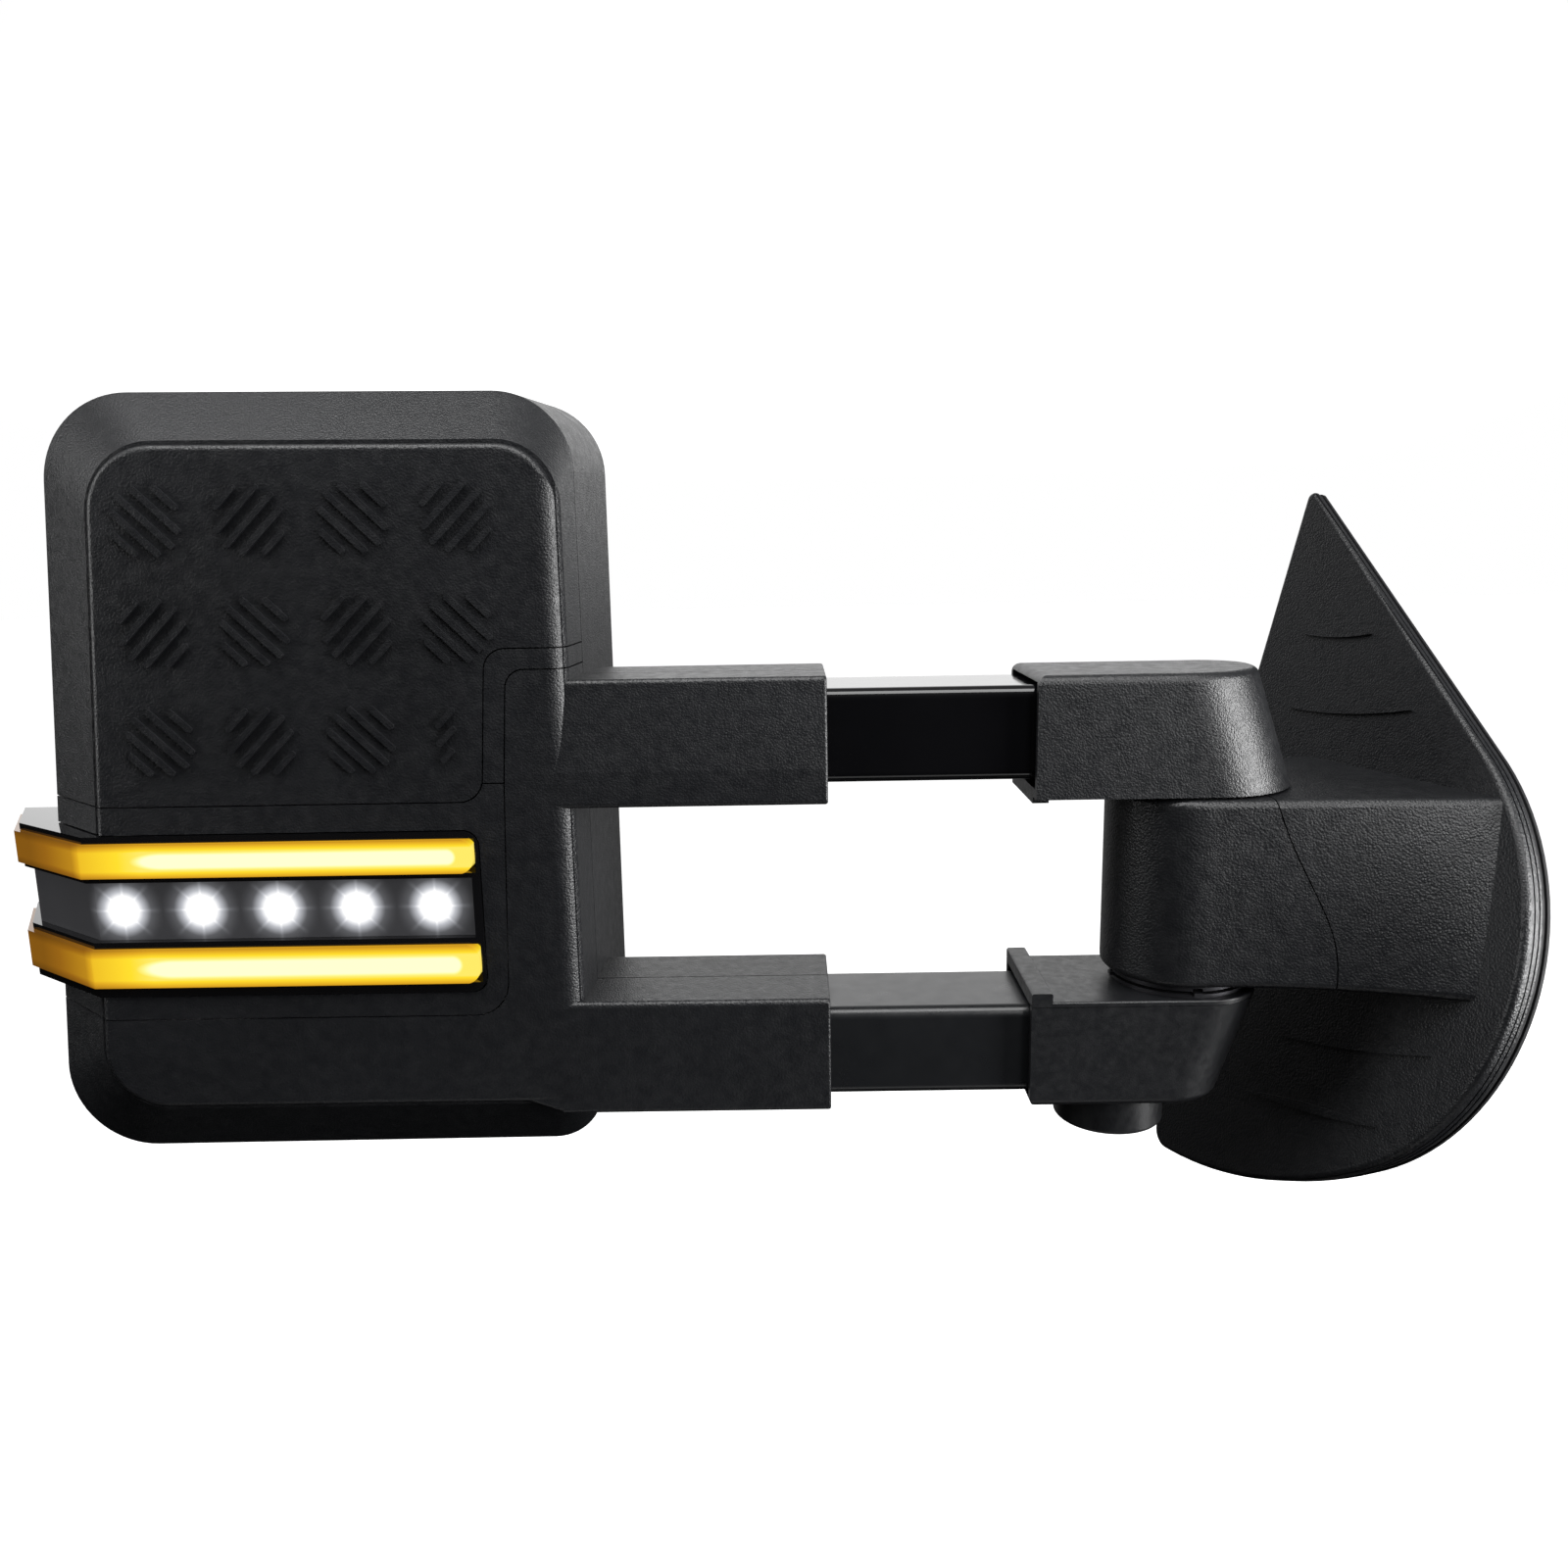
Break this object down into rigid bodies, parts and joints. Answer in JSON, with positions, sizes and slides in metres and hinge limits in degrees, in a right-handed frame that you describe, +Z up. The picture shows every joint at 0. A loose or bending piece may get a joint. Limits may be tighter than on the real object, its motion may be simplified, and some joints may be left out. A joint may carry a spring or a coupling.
{
  "type": "towing mirror",
  "caption": "Extendable folding towing mirror: twin-arm head with flat and convex glass, wrap-around signal lamp and a triangular door bracket.",
  "frame": {"origin": "centre of the door stud circle, on the door face of the bracket", "axes": "+X along the arms towards the door, +Y towards the side that the glass faces, +Z up"},
  "size_m": [0.587, 0.1763, 0.3476],
  "materials": {
    "grained_black": "fine leather grain, satin",
    "smooth_black": "moulded, semi gloss",
    "lamp_black": "high gloss",
    "tube_black": "gloss black powder coat",
    "amber_lens": "lit amber light bar",
    "clear_lens": "smoked clear lens",
    "led_white": "lit white emitter",
    "reflector": "metallised plastic",
    "board": "circuit board lacquer",
    "rubber": "moulded rubber",
    "cast_metal": "die cast",
    "steel": "zinc plated",
    "black_steel": "phosphated",
    "acetal": "natural acetal",
    "inner_black": "moulded, matt",
    "bronze": "sintered bronze",
    "mirror": "silvered glass",
    "heater": "foil on adhesive film",
    "gunmetal": "motor can"
  },
  "bodies": {
    "door_base": {"mount_bracket": "cast_metal", "door_studs": "steel", "door_gasket": "rubber", "sail_shell": "grained_black", "neck_cover": "grained_black", "cable_grommet": "rubber", "bracket_screws": "black_steel", "pivot_post": "steel", "detent_ring_fixed": "black_steel", "upper_thrust_washer": "acetal", "lower_thrust_washer": "acetal", "spring_retainer": "steel"},
    "arm_frame": {"upper_knuckle": "grained_black", "lower_knuckle": "smooth_black", "lower_knuckle_lid": "smooth_black", "upper_tube": "tube_black", "lower_tube": "tube_black", "upper_pivot_bush": "bronze", "lower_pivot_bush": "bronze", "detent_ring_moving": "black_steel", "fold_spring": "black_steel", "tube_bolts": "steel", "bolt_cover": "smooth_black", "tube_end_plugs": "inner_black"},
    "mirror_head": {"skull_cap": "grained_black", "trim_strip": "grained_black", "lamp_bezel": "grained_black", "arm_housing": "grained_black", "rear_housing": "grained_black", "main_frame": "inner_black", "upper_sleeve_guides": "acetal", "lower_sleeve_guides": "acetal", "friction_shoes": "acetal", "friction_springs": "black_steel", "housing_screws": "black_steel", "lamp_housing": "lamp_black", "amber_lens_upper": "amber_lens", "amber_lens_lower": "amber_lens", "clear_lens": "clear_lens", "led_reflector": "reflector", "led_emitters": "led_white", "lamp_board": "board", "actuator_base": "inner_black", "actuator_cover": "inner_black", "actuator_motors": "gunmetal", "lower_glass_bracket": "inner_black"},
    "upper_pan": {"upper_pan_cross": "acetal"},
    "upper_glass": {"upper_glass_carrier": "inner_black", "heater_pad": "heater", "upper_glass": "mirror"},
    "lower_pan": {"lower_pan_cross": "acetal"},
    "lower_glass": {"lower_glass_carrier": "inner_black", "lower_glass": "mirror"},
    "tilt_plunger": {"tilt_plunger": "acetal"},
    "pan_plunger": {"pan_plunger": "acetal"}
  },
  "joints": [
    {"name": "arm_fold", "type": "hinge", "parent": "door_base", "child": "arm_frame", "pos_m": [-0.07906, -0.02364, 0.03114], "axis": [0, 0, 1], "range_deg": [-60, 60]},
    {"name": "head_slide", "type": "slide", "parent": "arm_frame", "child": "mirror_head", "axis": [1, 0, 0], "range_m": [0, 0.075]},
    {"name": "upper_glass_pan", "type": "hinge", "parent": "mirror_head", "child": "upper_pan", "pos_m": [-0.41507, 0.01435, 0.10164], "axis": [0, 0, 1], "range_deg": [-6, 6]},
    {"name": "upper_glass_tilt", "type": "hinge", "parent": "upper_pan", "child": "upper_glass", "pos_m": [-0.41507, 0.01435, 0.10164], "axis": [1, 0, 0], "range_deg": [-6, 6]},
    {"name": "lower_glass_pan", "type": "hinge", "parent": "mirror_head", "child": "lower_pan", "pos_m": [-0.41507, 0.01435, -0.03836], "axis": [0, 0, 1], "range_deg": [-6, 6]},
    {"name": "lower_glass_tilt", "type": "hinge", "parent": "lower_pan", "child": "lower_glass", "pos_m": [-0.41507, 0.01435, -0.03836], "axis": [1, 0, 0], "range_deg": [-6, 6]},
    {"name": "tilt_plunger_slide", "type": "slide", "parent": "mirror_head", "child": "tilt_plunger", "axis": [0, 1, 0], "range_m": [-0.0031, 0.0031]},
    {"name": "pan_plunger_slide", "type": "slide", "parent": "mirror_head", "child": "pan_plunger", "axis": [0, 1, 0], "range_m": [-0.0031, 0.0031]}
  ],
  "couplings": [
    {"joint": "tilt_plunger_slide", "follows": "upper_glass_tilt", "m_per_rad": -0.028},
    {"joint": "pan_plunger_slide", "follows": "upper_glass_pan", "m_per_rad": -0.028}
  ]
}
